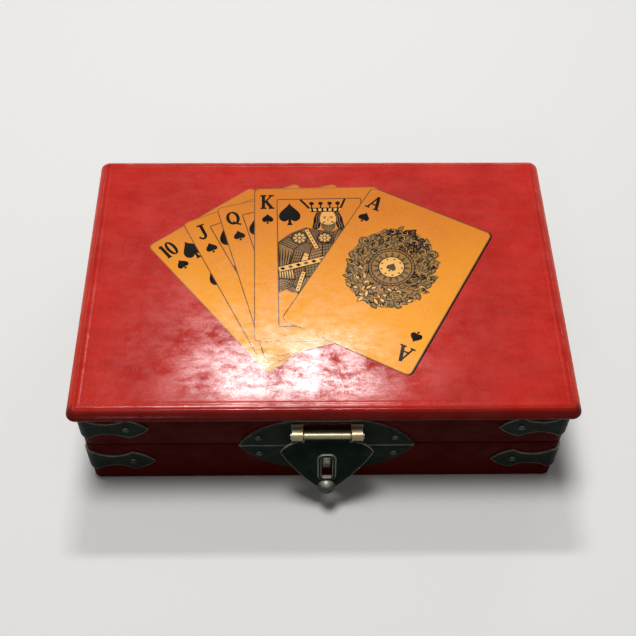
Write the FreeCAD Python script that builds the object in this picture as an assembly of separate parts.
"""Leather-covered wooden box for two decks of playing cards and a row of dice.

The lid is as wide as the base, swings on two small butt hinges at the back, and its padded top
overhangs the walls. A hasp closes it: a slotted tongue hangs from a barrel on the lid's half-moon
plate and drops over a swivel staple in the base's half-moon plate.

Millimetres. The origin is at the centre of the underside, X runs to the right, Y to the back and
Z up. The box stands closed and unlatched, with the tongue lifted clear of the staple.
"""

import FreeCAD, Part
import math
import os

from FreeCAD import Rotation, Vector

# ---------------------------------------------------------------- driving dimensions
# The case
LID_WIDTH = 180.0        # over the padded edge of the lid's top
LID_DEPTH = 124.0
OVERHANG_FRONT = 2.2     # how far the lid's top stands out past the front and back walls
OVERHANG_ENDS = 3.2      # and past the end walls
BASE_HEIGHT = 24.6       # underside to the rim of the base
LID_HEIGHT = 23.2        # rim of the lid to the top of the padding
RIM_GAP = 0.3            # between the two rims when the box is closed
TOP_THICKNESS = 5.0      # top board with its leather
WALL = 5.0               # thickness of the wall boards
FLOOR_BOARD = 3.0
LEATHER = 0.8
FELT = 0.8               # lining inside both halves
UNDERSIDE_PAPER = 0.6
UNDERSIDE_INSET = 1.5    # bare margin between the paper and the wall's face
WALL_CORNER = 3.0        # plan radius of the wrapped walls
TOP_CORNER = 3.5         # plan radius of the lid's top
PAD_ROUND_TOP = 3.2      # rounding of the lid top's upper edge
PAD_ROUND_UNDER = 1.6    # rounding of its lower edge

# The inside
DICE_CHANNEL = 19.2      # clear width between the dividers
DIVIDER = 3.0
DIVIDER_DROP = 3.2       # from the rim down to the top of a divider
NOTCH_WEB = 4.0          # left standing under the round finger notch in each divider
DIVIDER_CLEARANCE = 0.1

# Corner brackets
BRACKET_SHEET = 0.7
BRACKET_LEAF = 24.7      # corner to the tip of a leaf
BRACKET_WAIST = 8.5      # corner to the narrowest place
BRACKET_BULGE = 16.7     # corner to the widest place of the leaf, where the tack is
BRACKET_HALF_HEIGHT = 6.0
BRACKET_WAIST_HALF = 3.3
BASE_BRACKET_LIFT = 8.0  # from the underside to a base bracket
LID_BRACKET_DROP = 0.7   # from the underside of the lid's top to a lid bracket

# Tacks that hold the brackets and the hinges
TACK_HEAD_RADIUS = 1.3
TACK_CROWN_RADIUS = 0.6
TACK_FACETS = 8          # the head is a faceted rose head
TACK_HEAD_HEIGHT = 0.8
TACK_SHANK = 0.9         # side of the square shank
TACK_LENGTH = 4.0
TACK_CLEARANCE = 0.02

# Hinges
HINGE_SPREAD = 44.0      # middle of the box to the middle of a hinge
HINGE_LENGTH = 28.0
HINGE_SHEET = 0.8
HINGE_LEAF_HEIGHT = 14.0
HINGE_CORNER = 2.0
KNUCKLE_RADIUS = 1.8
KNUCKLE_COUNT = 5
KNUCKLE_GAP = 0.15       # between neighbouring knuckles
KNUCKLE_STANDOFF = 0.3   # between a knuckle and the wall
HINGE_PIN_RADIUS = 0.75
HINGE_PIN_HEAD = 1.3
HINGE_TACK_SPREAD = 9.0
HINGE_TACK_Z = 8.5       # from the hinge's axis

# Hasp
HASP_X = 1.0             # the hasp's centre line, right of the box's middle
PLATE_WIDTH = 64.0
PLATE_CROWN_GAP = 1.7    # from the crown of the lid's plate to the overhang
PLATE_FLAT = 22.0        # straight stretch at the crown of a plate
PLATE_SHEET = 0.8
PLATE_BEVEL = 0.3
PLATE_RIVET_X = 24.5
PLATE_RIVET_Z = 5.3      # from a plate's straight edge
WINDOW_WIDTH = 17.6
WINDOW_HEIGHT = 5.0
WINDOW_RISE = 1.2        # from the barrel's axis to the middle of the window
BARREL_DROP = 5.5        # from the crown of the lid's plate to the barrel's axis
BARREL_OUT = 3.4         # from the wall to the barrel's axis
BARREL_RADIUS = 1.6
EAR_RADIUS = 2.4
EAR_WIDTH = 3.9
EAR_SPREAD = 8.6         # middle to the inner face of an ear
HASP_PIN_RADIUS = 0.7
HASP_PIN_HEAD = 1.3
PIN_HEAD_LENGTH = 0.5
PIN_CLEARANCE = 0.05     # radial, in knuckles and barrels

TONGUE_SHEET = 1.0
TONGUE_PAST_KNOB = 1.5   # from the middle of the knob to the tip of the sheet
TONGUE_NECK = 3.3        # length of the narrow neck between the ears
TONGUE_SHOULDER = 16.8   # half the width at the shoulders
TONGUE_SHOULDER_AT = 8.0
TONGUE_TIP_HALF = 2.0
TONGUE_SIDE_GAP = 0.4    # between the tongue and an ear
TONGUE_STAND_OFF = 0.65  # between the tongue at rest and the turning staple
SLOT_LENGTH = 9.4
SLOT_WIDTH = 4.0
SLOT_CORNER = 0.9
SLOT_RIM = 1.2
SLOT_RIM_HEIGHT = 0.6
KNOB_RADIUS = 3.2        # lifting knob at the tip
KNOB_HEIGHT = 2.6
KNOB_GAP = 0.1           # between the slot's rim and the knob
KNOB_STEM = 1.1

STAPLE_DROP = 3.6        # from the base's rim to the staple's axis
STAPLE_LENGTH = 8.2      # the head's long way
STAPLE_WIDTH = 2.8
STAPLE_DEPTH = 2.7
STAPLE_SHANK = 1.3
STAPLE_EYE = 0.75        # radius of the eye through the head
STAPLE_BEVEL = 0.4
STAPLE_TAIL = 2.2
STAPLE_TAIL_LENGTH = 0.8
WASHER_RADIUS = 3.4
WASHER_THICKNESS = 0.7
LATCH_CLEARANCE = 0.3    # between the closed tongue and the staple's head

# ---------------------------------------------------------------- places worked out from them
BODY_WIDTH = LID_WIDTH - 2 * OVERHANG_ENDS
BODY_DEPTH = LID_DEPTH - 2 * OVERHANG_FRONT
BOARD_WIDTH = BODY_WIDTH - 2 * LEATHER
BOARD_DEPTH = BODY_DEPTH - 2 * LEATHER
INSIDE_WIDTH = BOARD_WIDTH - 2 * WALL
INSIDE_DEPTH = BOARD_DEPTH - 2 * WALL

LID_RIM = BASE_HEIGHT + RIM_GAP
TOTAL_HEIGHT = LID_RIM + LID_HEIGHT
TOP_UNDERSIDE = TOTAL_HEIGHT - TOP_THICKNESS
FLOOR_TOP = UNDERSIDE_PAPER + FLOOR_BOARD
DIVIDER_HEIGHT = BASE_HEIGHT - DIVIDER_DROP - FLOOR_TOP - FELT
FINGER_NOTCH = DIVIDER_HEIGHT - NOTCH_WEB
BASE_BRACKET_Z = BASE_BRACKET_LIFT + BRACKET_HALF_HEIGHT
LID_BRACKET_Z = TOP_UNDERSIDE - LID_BRACKET_DROP - BRACKET_HALF_HEIGHT

HINGE_Z = BASE_HEIGHT + RIM_GAP / 2
HINGE_OUT = KNUCKLE_RADIUS + KNUCKLE_STANDOFF
HINGE_Y = BODY_DEPTH / 2 + HINGE_OUT

PLATE_HEIGHT = TOP_UNDERSIDE - PLATE_CROWN_GAP - LID_RIM
BARREL_Z = LID_RIM + PLATE_HEIGHT - BARREL_DROP
STAPLE_Z = BASE_HEIGHT - STAPLE_DROP
TONGUE_BACK = BARREL_OUT - BARREL_RADIUS      # wall to the closed tongue's back face
TONGUE_FRONT = TONGUE_BACK + TONGUE_SHEET
STAPLE_HEAD_FOOT = TONGUE_FRONT + SLOT_RIM_HEIGHT + LATCH_CLEARANCE
KNOB_Z = STAPLE_Z - SLOT_LENGTH / 2 - SLOT_RIM - KNOB_GAP - KNOB_RADIUS
TONGUE_TIP_Z = KNOB_Z - TONGUE_PAST_KNOB


def tilt_to_clear(z, distance):
    """The tongue's angle, in degrees, at which its back face passes a point on the front wall."""
    drop, out = BARREL_Z - z, distance + TONGUE_STAND_OFF - BARREL_OUT
    return math.degrees(math.asin(BARREL_RADIUS / math.hypot(drop, out)) + math.atan2(out, drop))


# At rest the tongue stands out far enough for the staple to turn behind it.
TONGUE_TILT = max(
    tilt_to_clear(STAPLE_Z, STAPLE_HEAD_FOOT + STAPLE_DEPTH),
    tilt_to_clear(STAPLE_Z + STAPLE_LENGTH / 2, STAPLE_HEAD_FOOT + STAPLE_DEPTH / 2),
)

FORWARD = Vector(0, -1, 0)
BACKWARD = Vector(0, 1, 0)


# ---------------------------------------------------------------- basic forms
def block(x0, x1, y0, y1, z0, z1):
    return Part.makeBox(x1 - x0, y1 - y0, z1 - z0, Vector(x0, y0, z0))


def centred_block(width, depth, z0, z1):
    return block(-width / 2, width / 2, -depth / 2, depth / 2, z0, z1)


def rounded_block(width, depth, z0, z1, radius):
    """A block whose four upright edges are rounded."""
    solid = centred_block(width, depth, z0, z1)
    uprights = [e for e in solid.Edges if abs(e.tangentAt(e.FirstParameter).z) > 0.99]
    return solid.makeFillet(radius, uprights)


def edges_in_plane(solid, axis, place):
    """The edges of a solid that lie in the plane at a place on the "X", "Y" or "Z" axis."""
    spans = [(e, getattr(e.BoundBox, axis + "Min"), getattr(e.BoundBox, axis + "Max")) for e in solid.Edges]
    return [edge for edge, low, high in spans if max(abs(low - place), abs(high - place)) < 1e-4]


def front_outline(points_and_arcs, y0, y1):
    """A solid cut to an outline in the XZ plane, between two depths.

    Each entry is the end of a straight run, or a pair (through, end) for an arc.
    """
    start = points_and_arcs[0]
    here = Vector(start[0], y0, start[1])
    edges = []
    for entry in points_and_arcs[1:]:
        if isinstance(entry[0], tuple):
            through, end = (Vector(p[0], y0, p[1]) for p in entry)
            edges.append(Part.Arc(here, through, end).toShape())
        else:
            end = Vector(entry[0], y0, entry[1])
            edges.append(Part.LineSegment(here, end).toShape())
        here = end
    return Part.Face(Part.Wire(edges)).extrude(Vector(0, y1 - y0, 0))


def cylinder_x(radius, x0, x1, y, z):
    return Part.makeCylinder(radius, x1 - x0, Vector(x0, y, z), Vector(1, 0, 0))


def polygon_wire(radius, corners, z):
    """A regular polygon in the level plane at height z."""
    turn = 2 * math.pi / corners
    ring = [Vector(radius * math.cos(i * turn), radius * math.sin(i * turn), z) for i in range(corners)]
    return Part.makePolygon(ring + ring[:1])


def dome(radius, height):
    """A spherical cap standing on the XY plane at the origin."""
    sphere = (radius ** 2 + height ** 2) / (2 * height)
    lean = math.asin(radius / sphere) / 2
    shoulder = Vector(sphere * math.sin(lean), 0, height - sphere + sphere * math.cos(lean))
    rim, crown, foot = Vector(radius, 0, 0), Vector(0, 0, height), Vector(0, 0, 0)
    edges = [
        Part.LineSegment(foot, rim).toShape(),
        Part.Arc(rim, shoulder, crown).toShape(),
        Part.LineSegment(crown, foot).toShape(),
    ]
    return Part.Face(Part.Wire(edges)).revolve(foot, Vector(0, 0, 1), 360)


def pointing(shape, place, outward):
    """A shape built along +Z at the origin, turned to point outward and moved to its place."""
    turned = shape.copy()
    turned.Placement = FreeCAD.Placement(place, Rotation(Vector(0, 0, 1), outward))
    return turned


def at_front(distance):
    """Y at a distance out of the front wall."""
    return -(BODY_DEPTH / 2 + distance)


def on_hasp(shape):
    """A shape built about the box's middle, moved to the hasp's centre line."""
    return shape.translated(Vector(HASP_X, 0, 0))


# ---------------------------------------------------------------- tacks and their holes
def tack(place, outward):
    """A tack whose head seats on a sheet; place is the middle of the head's seat."""
    half = TACK_SHANK / 2
    shank = block(-half, half, -half, half, -TACK_LENGTH, 0)
    rim = polygon_wire(TACK_HEAD_RADIUS, TACK_FACETS, 0)
    crown = polygon_wire(TACK_CROWN_RADIUS, TACK_FACETS, TACK_HEAD_HEIGHT)
    head = Part.makeLoft([rim, crown], True, True)
    return pointing(head.fuse(shank), place, outward)


def tack_hole(place, outward):
    half = TACK_SHANK / 2 + TACK_CLEARANCE
    hole = block(-half, half, -half, half, -TACK_LENGTH - TACK_CLEARANCE, TACK_CLEARANCE)
    return pointing(hole, place, outward)


def bracket_tacks(z):
    """Seats of the tacks of the four brackets of one half, one in each leaf."""
    half_width, half_depth = BODY_WIDTH / 2, BODY_DEPTH / 2
    seats = []
    for side in (-1, 1):
        for face in (-1, 1):
            end_leaf = Vector(side * (half_width - BRACKET_BULGE), face * (half_depth + BRACKET_SHEET), z)
            side_leaf = Vector(side * (half_width + BRACKET_SHEET), face * (half_depth - BRACKET_BULGE), z)
            seats.append((end_leaf, Vector(0, face, 0)))
            seats.append((side_leaf, Vector(side, 0, 0)))
    return seats


def hinge_tacks(direction):
    """Seats of the tacks of both hinges in one half; direction is -1 for the base and 1 for the lid."""
    y = BODY_DEPTH / 2 + HINGE_SHEET
    z = HINGE_Z + direction * HINGE_TACK_Z
    middles = (-HINGE_SPREAD, HINGE_SPREAD)
    places = [middle + side * HINGE_TACK_SPREAD for middle in middles for side in (-1, 1)]
    return [(Vector(x, y, z), BACKWARD) for x in places]


def hasp_rivets(z):
    y = at_front(PLATE_SHEET)
    return [(Vector(HASP_X + side * PLATE_RIVET_X, y, z), FORWARD) for side in (-1, 1)]


BASE_RIVETS = hasp_rivets(BASE_HEIGHT - PLATE_RIVET_Z)
LID_RIVETS = hasp_rivets(LID_RIM + PLATE_RIVET_Z)
BASE_TACKS = bracket_tacks(BASE_BRACKET_Z) + hinge_tacks(-1) + BASE_RIVETS
LID_TACKS = bracket_tacks(LID_BRACKET_Z) + hinge_tacks(1) + LID_RIVETS


def drilled(shape, seats):
    """The shape with a hole for every tack that reaches it."""
    holes = [tack_hole(*seat) for seat in seats]
    reached = [hole for hole in holes if hole.BoundBox.intersect(shape.BoundBox)]
    return shape.cut(reached) if reached else shape


def staple_bore(radius, d0, d1):
    """A round bore on the staple's axis, between two distances out of the front wall."""
    return Part.makeCylinder(radius, d1 - d0, Vector(HASP_X, at_front(d0), STAPLE_Z), FORWARD)


# ---------------------------------------------------------------- wooden case
def wall_boards(z0, z1):
    """The four wall boards of one half: front and back run through, the sides stand between them."""
    frame = rounded_block(BOARD_WIDTH, BOARD_DEPTH, z0, z1, WALL_CORNER - LEATHER)
    frame = frame.cut(centred_block(INSIDE_WIDTH, INSIDE_DEPTH, z0, z1))
    far_x, far_y = BOARD_WIDTH / 2, BOARD_DEPTH / 2
    in_x, in_y = INSIDE_WIDTH / 2, INSIDE_DEPTH / 2
    return {
        "front": frame.common(block(-far_x, far_x, -far_y, -in_y, z0, z1)),
        "back": frame.common(block(-far_x, far_x, in_y, far_y, z0, z1)),
        "left": frame.common(block(-far_x, -in_x, -in_y, in_y, z0, z1)),
        "right": frame.common(block(in_x, far_x, -in_y, in_y, z0, z1)),
    }


def base_boards():
    boards = wall_boards(FLOOR_TOP, BASE_HEIGHT - LEATHER)
    inner_face = -(LEATHER + WALL)
    shank_bore = staple_bore(STAPLE_SHANK + 2 * PIN_CLEARANCE, inner_face, 0)
    tail_seat = staple_bore(STAPLE_TAIL + 2 * PIN_CLEARANCE, inner_face, inner_face + STAPLE_TAIL_LENGTH)
    boards["front"] = boards["front"].cut([shank_bore, tail_seat])
    return {f"base_{name}_board": drilled(board, BASE_TACKS) for name, board in boards.items()}


def lid_boards():
    boards = wall_boards(LID_RIM + LEATHER, TOP_UNDERSIDE + LEATHER)
    return {f"lid_{name}_board": drilled(board, LID_TACKS) for name, board in boards.items()}


def base_floor_board():
    return rounded_block(BOARD_WIDTH, BOARD_DEPTH, UNDERSIDE_PAPER, FLOOR_TOP, WALL_CORNER - LEATHER)


def base_underside_paper():
    inset = 2 * UNDERSIDE_INSET
    return rounded_block(BODY_WIDTH - inset, BODY_DEPTH - inset, 0, UNDERSIDE_PAPER, WALL_CORNER)


def lid_top_board():
    width, depth = LID_WIDTH - 2 * LEATHER, LID_DEPTH - 2 * LEATHER
    low, high = TOP_UNDERSIDE + LEATHER, TOTAL_HEIGHT - LEATHER
    board = rounded_block(width, depth, low, high, TOP_CORNER - LEATHER)
    board = board.makeChamfer(PAD_ROUND_TOP - LEATHER, edges_in_plane(board, "Z", high))
    return board.makeChamfer(PAD_ROUND_UNDER - LEATHER, edges_in_plane(board, "Z", low))


# ---------------------------------------------------------------- leather and lining
def lid_leather_top():
    """The padded cover, turned under the overhang as far as the wall boards."""
    cover = rounded_block(LID_WIDTH, LID_DEPTH, TOP_UNDERSIDE, TOTAL_HEIGHT, TOP_CORNER)
    cover = cover.makeFillet(PAD_ROUND_TOP, edges_in_plane(cover, "Z", TOTAL_HEIGHT))
    cover = cover.makeFillet(PAD_ROUND_UNDER, edges_in_plane(cover, "Z", TOP_UNDERSIDE))
    opening = rounded_block(
        BOARD_WIDTH, BOARD_DEPTH, TOP_UNDERSIDE - LEATHER, TOP_UNDERSIDE + LEATHER, WALL_CORNER - LEATHER
    )
    return cover.cut([lid_top_board(), opening])


def wrap(z_open, z_rim):
    """Leather round the walls of one half, turned over the rim; z_rim is the rim's outer face."""
    low, high = sorted((z_open, z_rim))
    board_edge = z_rim - math.copysign(LEATHER, z_rim - z_open)
    outer = rounded_block(BODY_WIDTH, BODY_DEPTH, low, high, WALL_CORNER)
    boards_low, boards_high = sorted((z_open, board_edge))
    boards = rounded_block(BOARD_WIDTH, BOARD_DEPTH, boards_low, boards_high, WALL_CORNER - LEATHER)
    return outer.cut([boards, centred_block(INSIDE_WIDTH, INSIDE_DEPTH, low, high)])


def base_leather_wrap():
    skin = wrap(UNDERSIDE_PAPER, BASE_HEIGHT).cut(staple_bore(STAPLE_SHANK + 2 * PIN_CLEARANCE, -LEATHER, 0))
    return drilled(skin, BASE_TACKS)


def lid_leather_wrap():
    return drilled(wrap(TOP_UNDERSIDE, LID_RIM), LID_TACKS)


def tray(z_closed, z_open):
    """Felt lining of one half: a thin tray, closed at one height and open at the other."""
    low, high = sorted((z_closed, z_open))
    felt_edge = z_closed + math.copysign(FELT, z_open - z_closed)
    hollow_low, hollow_high = sorted((felt_edge, z_open))
    hollow = centred_block(INSIDE_WIDTH - 2 * FELT, INSIDE_DEPTH - 2 * FELT, hollow_low, hollow_high)
    return centred_block(INSIDE_WIDTH, INSIDE_DEPTH, low, high).cut(hollow)


def divider(side):
    """One felt-covered divider, with a finger notch in its upper edge."""
    inner = side * DICE_CHANNEL / 2
    outer = side * (DICE_CHANNEL / 2 + DIVIDER)
    half_depth = INSIDE_DEPTH / 2 - FELT - DIVIDER_CLEARANCE
    low = FLOOR_TOP + FELT
    high = low + DIVIDER_HEIGHT
    board = block(min(inner, outer), max(inner, outer), -half_depth, half_depth, low, high)
    notch = cylinder_x(FINGER_NOTCH, min(inner, outer), max(inner, outer), 0, high)
    return board.cut(notch)


# ---------------------------------------------------------------- corner brackets
def leaf_outline(corner_x, z, y0, y1):
    """The outline of one leaf, from beyond the corner to its tip: a waist, a bulge and a point."""
    beyond = corner_x + BRACKET_SHEET
    waist_x, bulge_x, tip_x = (corner_x - s for s in (BRACKET_WAIST, BRACKET_BULGE, BRACKET_LEAF))
    half, waist = BRACKET_HALF_HEIGHT, BRACKET_WAIST_HALF
    shoulder_x = corner_x - BRACKET_WAIST / 3
    flank_x, flank_z = (bulge_x + tip_x) / 2 - 1.0, half * 0.55
    return front_outline(
        [
            (beyond, z + half),
            (shoulder_x, z + half),
            ((waist_x, z + waist), (bulge_x, z + half)),
            ((flank_x, z + flank_z), (tip_x, z)),
            ((flank_x, z - flank_z), (bulge_x, z - half)),
            ((waist_x, z - waist), (shoulder_x, z - half)),
            (beyond, z - half),
            (beyond, z + half),
        ],
        y0,
        y1,
    )


def corner_bracket(z):
    """A bracket bent round the front right corner, a leaf on either wall."""
    low, high = z - BRACKET_HALF_HEIGHT, z + BRACKET_HALF_HEIGHT
    outer = rounded_block(
        BODY_WIDTH + 2 * BRACKET_SHEET, BODY_DEPTH + 2 * BRACKET_SHEET, low, high, WALL_CORNER + BRACKET_SHEET
    )
    sheet = outer.cut(rounded_block(BODY_WIDTH, BODY_DEPTH, low, high, WALL_CORNER))
    half_width, half_depth = BODY_WIDTH / 2, BODY_DEPTH / 2
    front_leaf = leaf_outline(half_width, z, -half_depth - BRACKET_SHEET, -half_depth + WALL_CORNER)
    side_leaf = leaf_outline(half_depth, z, -half_width - BRACKET_SHEET, -half_width + WALL_CORNER)
    side_leaf.rotate(Vector(0, 0, 0), Vector(0, 0, 1), 90)
    side_leaf = side_leaf.mirror(Vector(0, 0, 0), Vector(0, 1, 0))
    return sheet.common(front_leaf.fuse(side_leaf)).removeSplitter()


def brackets(half, z, seats):
    """The four brackets of one half, mirrored from the front right one."""
    nodes = {}
    right = corner_bracket(z)
    for side_name, mirror_x in (("right", False), ("left", True)):
        for face_name, mirror_y in (("front", False), ("back", True)):
            shape = right.mirror(Vector(0, 0, 0), Vector(1, 0, 0)) if mirror_x else right
            shape = shape.mirror(Vector(0, 0, 0), Vector(0, 1, 0)) if mirror_y else shape
            nodes[f"{half}_bracket_{face_name}_{side_name}"] = drilled(shape, seats)
    return nodes


# ---------------------------------------------------------------- hinges
def knuckle_spans(middle):
    """The X spans of a hinge's knuckles, as (start, end) pairs from left to right."""
    pitch = HINGE_LENGTH / KNUCKLE_COUNT
    starts = [middle - HINGE_LENGTH / 2 + i * pitch for i in range(KNUCKLE_COUNT)]
    return [(start + KNUCKLE_GAP / 2, start + pitch - KNUCKLE_GAP / 2) for start in starts]


def hinge_leaf(middle, direction, seats):
    """One leaf with its rolled knuckles; direction is -1 for the base's leaf and 1 for the lid's."""
    wall = BODY_DEPTH / 2
    left, right = middle - HINGE_LENGTH / 2, middle + HINGE_LENGTH / 2
    near = HINGE_Z + direction * (KNUCKLE_RADIUS + KNUCKLE_STANDOFF)
    far = HINGE_Z + direction * HINGE_LEAF_HEIGHT
    plate = block(left, right, wall, wall + HINGE_SHEET, min(near, far), max(near, far))
    far_corners = [e for e in edges_in_plane(plate, "Z", far) if e.BoundBox.XLength < 1e-4]
    leaf = plate.makeFillet(HINGE_CORNER, far_corners)
    edge = HINGE_Z + direction * RIM_GAP
    own = knuckle_spans(middle)[0 if direction < 0 else 1::2]
    for start, end in own:
        web = block(start, end, wall, wall + HINGE_SHEET, min(edge, near), max(edge, near))
        leaf = leaf.fuse([web, cylinder_x(KNUCKLE_RADIUS, start, end, HINGE_Y, HINGE_Z)])
    bore = cylinder_x(HINGE_PIN_RADIUS + PIN_CLEARANCE, left, right, HINGE_Y, HINGE_Z)
    return drilled(leaf.cut(bore).removeSplitter(), seats)


def headed_pin(radius, head, x0, x1, y, z):
    """A pin along X between x0 and x1, with a flat head outside each end."""
    pin = cylinder_x(radius, x0, x1, y, z)
    left_head = cylinder_x(head, x0 - PIN_HEAD_LENGTH, x0, y, z)
    right_head = cylinder_x(head, x1, x1 + PIN_HEAD_LENGTH, y, z)
    return pin.fuse([left_head, right_head])


def hinge_pin(middle):
    half = HINGE_LENGTH / 2
    return headed_pin(HINGE_PIN_RADIUS, HINGE_PIN_HEAD, middle - half, middle + half, HINGE_Y, HINGE_Z)


# ---------------------------------------------------------------- hasp
def half_moon(z_edge, direction):
    """A half-moon plate on the front wall; direction is 1 for the lid's and -1 for the base's."""
    half, flat = PLATE_WIDTH / 2, PLATE_FLAT / 2
    crown = z_edge + direction * PLATE_HEIGHT
    bend_x = flat + (half - flat) * 0.62
    bend_z = z_edge + direction * PLATE_HEIGHT * 0.64
    plate = front_outline(
        [
            (-half, z_edge),
            (half, z_edge),
            ((bend_x, bend_z), (flat, crown)),
            (-flat, crown),
            ((-bend_x, bend_z), (-half, z_edge)),
        ],
        at_front(PLATE_SHEET),
        at_front(0),
    )
    face = edges_in_plane(plate, "Y", at_front(PLATE_SHEET))
    straight = edges_in_plane(plate, "Z", z_edge) + edges_in_plane(plate, "Z", crown)
    sides = [e for e in face if not any(e.isSame(other) for other in straight)]
    return plate.makeChamfer(PLATE_BEVEL, sides)


def hasp_upper_plate():
    """The lid's plate, with a window behind the barrel and two ears that carry its pin."""
    plate = half_moon(LID_RIM, 1)
    half_window = WINDOW_WIDTH / 2 - TONGUE_SIDE_GAP
    window_low = BARREL_Z + WINDOW_RISE - WINDOW_HEIGHT / 2
    window_high = window_low + WINDOW_HEIGHT
    plate = plate.cut(
        block(-half_window, half_window, at_front(PLATE_SHEET), at_front(0), window_low, window_high)
    )
    axis_y = at_front(BARREL_OUT)
    for side in (-1, 1):
        x0, x1 = sorted((side * EAR_SPREAD, side * (EAR_SPREAD + EAR_WIDTH)))
        legs = block(x0, x1, axis_y, at_front(PLATE_SHEET), BARREL_Z - EAR_RADIUS, BARREL_Z + EAR_RADIUS)
        plate = plate.fuse([legs, cylinder_x(EAR_RADIUS, x0, x1, axis_y, BARREL_Z)])
    reach = EAR_SPREAD + EAR_WIDTH
    bore = cylinder_x(HASP_PIN_RADIUS + PIN_CLEARANCE, -reach, reach, axis_y, BARREL_Z)
    return drilled(on_hasp(plate.cut(bore).removeSplitter()), LID_RIVETS)


def hasp_lower_plate():
    plate = on_hasp(half_moon(BASE_HEIGHT, -1))
    return drilled(plate.cut(staple_bore(STAPLE_SHANK + PIN_CLEARANCE, 0, PLATE_SHEET)), BASE_RIVETS)


def staple_washer():
    washer = staple_bore(WASHER_RADIUS, PLATE_SHEET, PLATE_SHEET + WASHER_THICKNESS)
    return washer.cut(staple_bore(STAPLE_SHANK + PIN_CLEARANCE, PLATE_SHEET, PLATE_SHEET + WASHER_THICKNESS))


def hasp_pin():
    reach = EAR_SPREAD + EAR_WIDTH
    pin = headed_pin(HASP_PIN_RADIUS, HASP_PIN_HEAD, -reach, reach, at_front(BARREL_OUT), BARREL_Z)
    return on_hasp(pin)


def swung_out(shape, angle):
    """A shape of the closed tongue, swung out about the barrel's axis."""
    swung = shape.copy()
    swung.rotate(Vector(0, at_front(BARREL_OUT), BARREL_Z), Vector(-1, 0, 0), angle)
    return swung


def slot_form(margin, d0, d1):
    """The tongue's slot, or its rim at a margin round it, between two distances out of the wall."""
    half_width, half_length = SLOT_WIDTH / 2 + margin, SLOT_LENGTH / 2 + margin
    low, high = STAPLE_Z - half_length, STAPLE_Z + half_length
    form = block(-half_width, half_width, at_front(d1), at_front(d0), low, high)
    ends = edges_in_plane(form, "Z", low) + edges_in_plane(form, "Z", high)
    return form.makeFillet(SLOT_CORNER + margin, [e for e in ends if e.BoundBox.XLength < 1e-4])


def hasp_tongue():
    """The slotted tongue with its rolled barrel, a shield that narrows to the knob at its tip."""
    neck = EAR_SPREAD - TONGUE_SIDE_GAP
    neck_z = BARREL_Z - TONGUE_NECK
    shoulder_z = BARREL_Z - TONGUE_SHOULDER_AT
    upper_x, upper_z = (neck + TONGUE_SHOULDER) / 2 + 0.6, (neck_z + shoulder_z) / 2 + 1.2
    flank_x = (TONGUE_SHOULDER + TONGUE_TIP_HALF) / 2 + 1.4
    flank_z = (shoulder_z + TONGUE_TIP_Z) / 2
    sheet = front_outline(
        [
            (neck, BARREL_Z),
            (neck, neck_z),
            ((upper_x, upper_z), (TONGUE_SHOULDER, shoulder_z)),
            ((flank_x, flank_z), (TONGUE_TIP_HALF, TONGUE_TIP_Z)),
            (-TONGUE_TIP_HALF, TONGUE_TIP_Z),
            ((-flank_x, flank_z), (-TONGUE_SHOULDER, shoulder_z)),
            ((-upper_x, upper_z), (-neck, neck_z)),
            (-neck, BARREL_Z),
            (neck, BARREL_Z),
        ],
        at_front(TONGUE_FRONT),
        at_front(TONGUE_BACK),
    )
    barrel = cylinder_x(BARREL_RADIUS, -neck, neck, at_front(BARREL_OUT), BARREL_Z)
    rim = slot_form(SLOT_RIM, TONGUE_FRONT, TONGUE_FRONT + SLOT_RIM_HEIGHT)
    slot = slot_form(0, TONGUE_BACK, TONGUE_FRONT + SLOT_RIM_HEIGHT)
    bore = cylinder_x(HASP_PIN_RADIUS + PIN_CLEARANCE, -neck, neck, at_front(BARREL_OUT), BARREL_Z)
    stem_hole = Part.makeCylinder(
        KNOB_STEM + PIN_CLEARANCE, TONGUE_SHEET, Vector(0, at_front(TONGUE_BACK), KNOB_Z), FORWARD
    )
    tongue = sheet.fuse([barrel, rim]).removeSplitter().cut([slot, bore, stem_hole])
    return swung_out(on_hasp(tongue), TONGUE_TILT)


def tongue_knob():
    """The domed lifting knob, riveted through the tongue's tip."""
    stem = Part.makeCylinder(KNOB_STEM, TONGUE_SHEET, Vector(0, 0, -TONGUE_SHEET))
    knob = dome(KNOB_RADIUS, KNOB_HEIGHT).fuse(stem)
    seat = Vector(HASP_X, at_front(TONGUE_FRONT), KNOB_Z)
    return swung_out(pointing(knob, seat, FORWARD), TONGUE_TILT)


def turn_staple():
    """The swivel staple: an oval head with an eye, on a shank riveted inside the front board."""
    middle = STAPLE_HEAD_FOOT + STAPLE_DEPTH / 2
    half = STAPLE_WIDTH / 2
    long_way, short_way = STAPLE_LENGTH / 2, STAPLE_DEPTH / 2
    centre = Vector(-half, at_front(middle), STAPLE_Z)
    oval = Part.Ellipse(centre + Vector(0, 0, long_way), centre + Vector(0, short_way, 0), centre)
    head = Part.Face(Part.Wire(oval.toShape())).extrude(Vector(STAPLE_WIDTH, 0, 0))
    head = head.makeChamfer(STAPLE_BEVEL, [e for e in head.Edges if e.BoundBox.XLength < 1e-4])
    eye = on_hasp(cylinder_x(STAPLE_EYE, -half, half, at_front(middle), STAPLE_Z))
    head = on_hasp(head).cut(eye)
    tail_end = -(LEATHER + WALL)
    shank = staple_bore(STAPLE_SHANK, tail_end, STAPLE_HEAD_FOOT + STAPLE_DEPTH / 4).cut(eye)
    tail = staple_bore(STAPLE_TAIL, tail_end, tail_end + STAPLE_TAIL_LENGTH - PIN_CLEARANCE)
    return head.fuse([shank, tail]).removeSplitter()


# ---------------------------------------------------------------- every node
def tack_group(seats):
    return Part.makeCompound([tack(*seat) for seat in seats])


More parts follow.
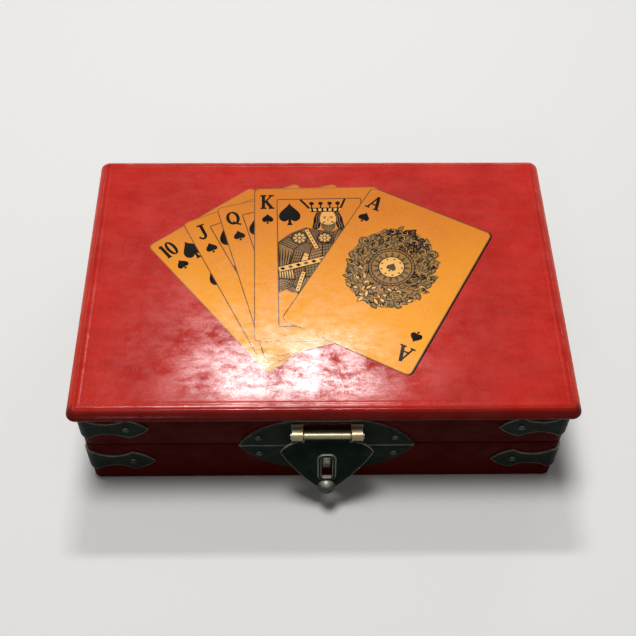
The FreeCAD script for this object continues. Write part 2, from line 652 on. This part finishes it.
def nodes():
    pieces = {
        "base_underside_paper": base_underside_paper(),
        "base_floor_board": base_floor_board(),
        "base_leather_wrap": base_leather_wrap(),
        "base_lining": tray(FLOOR_TOP, BASE_HEIGHT),
        "divider_left": divider(-1),
        "divider_right": divider(1),
        "base_bracket_tacks": tack_group(bracket_tacks(BASE_BRACKET_Z)),
        "base_hinge_tacks": tack_group(hinge_tacks(-1)),
        "hasp_lower_plate": hasp_lower_plate(),
        "hasp_lower_rivets": tack_group(BASE_RIVETS),
        "staple_washer": staple_washer(),
        "turn_staple": turn_staple(),
        "lid_top_board": lid_top_board(),
        "lid_leather_top": lid_leather_top(),
        "lid_leather_wrap": lid_leather_wrap(),
        "lid_lining": tray(TOP_UNDERSIDE + LEATHER, LID_RIM),
        "lid_bracket_tacks": tack_group(bracket_tacks(LID_BRACKET_Z)),
        "lid_hinge_tacks": tack_group(hinge_tacks(1)),
        "hasp_upper_plate": hasp_upper_plate(),
        "hasp_upper_rivets": tack_group(LID_RIVETS),
        "hasp_pin": hasp_pin(),
        "hasp_tongue": hasp_tongue(),
        "tongue_knob": tongue_knob(),
    }
    pieces.update(base_boards())
    pieces.update(lid_boards())
    pieces.update(brackets("base", BASE_BRACKET_Z, BASE_TACKS))
    pieces.update(brackets("lid", LID_BRACKET_Z, LID_TACKS))
    for side, middle in (("left", -HINGE_SPREAD), ("right", HINGE_SPREAD)):
        pieces[f"hinge_base_leaf_{side}"] = hinge_leaf(middle, -1, BASE_TACKS)
        pieces[f"hinge_lid_leaf_{side}"] = hinge_leaf(middle, 1, LID_TACKS)
        pieces[f"hinge_pin_{side}"] = hinge_pin(middle)
    return pieces


def main():
    os.makedirs("parts", exist_ok=True)
    for name, shape in sorted(nodes().items()):
        if not shape.isValid() or shape.Volume <= 0:
            raise ValueError(f"{name} is not a valid solid")
        print(f"{name:28s} solids {len(shape.Solids):2d} volume {shape.Volume:10.1f} mm3")
        shape.exportStep(f"parts/{name}.step")
    print(f"total height {TOTAL_HEIGHT:.2f} mm, hinge axis y {HINGE_Y:.2f} z {HINGE_Z:.2f}")
    print(f"barrel axis y {at_front(BARREL_OUT):.2f} z {BARREL_Z:.2f}, staple axis z {STAPLE_Z:.2f}")
    print(f"tongue stands out {TONGUE_TILT:.2f} degrees at rest")


main()
